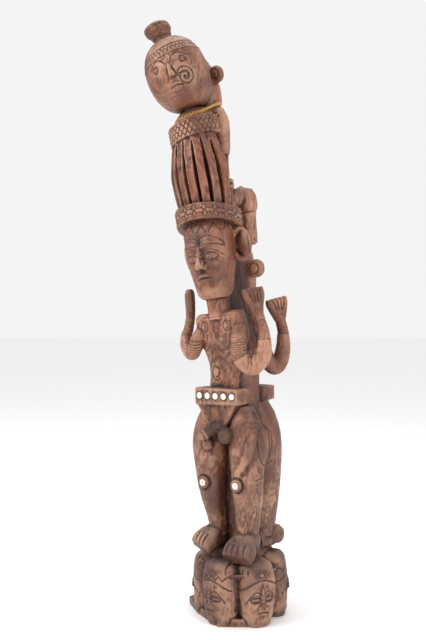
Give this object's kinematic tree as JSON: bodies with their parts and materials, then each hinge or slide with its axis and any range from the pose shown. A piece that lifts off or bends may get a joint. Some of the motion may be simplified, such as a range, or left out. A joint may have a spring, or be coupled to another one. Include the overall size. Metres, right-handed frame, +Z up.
{
  "type": "carved wooden figure post",
  "caption": "Tall leaning carved wood post of back-to-back standing figures on a ring of heads, with a slatted crown, a jar-shaped top head and inlaid shell discs.",
  "frame": {"origin": "centre of the log where it meets the floor, on the underside of the base", "axes": "+Z up; the front figure faces -Y, so its left hand is on +X"},
  "size_m": [0.3073, 0.3115, 1.4627],
  "materials": {
    "wood": "satin stained hardwood",
    "shell": "polished pale shell"
  },
  "bodies": {
    "root": {"carved_figure": "wood", "belt_shell_1": "shell", "belt_shell_2": "shell", "belt_shell_3": "shell", "belt_shell_4": "shell", "belt_shell_5": "shell", "knee_shell_right": "shell", "knee_shell_left": "shell"}
  },
  "joints": []
}
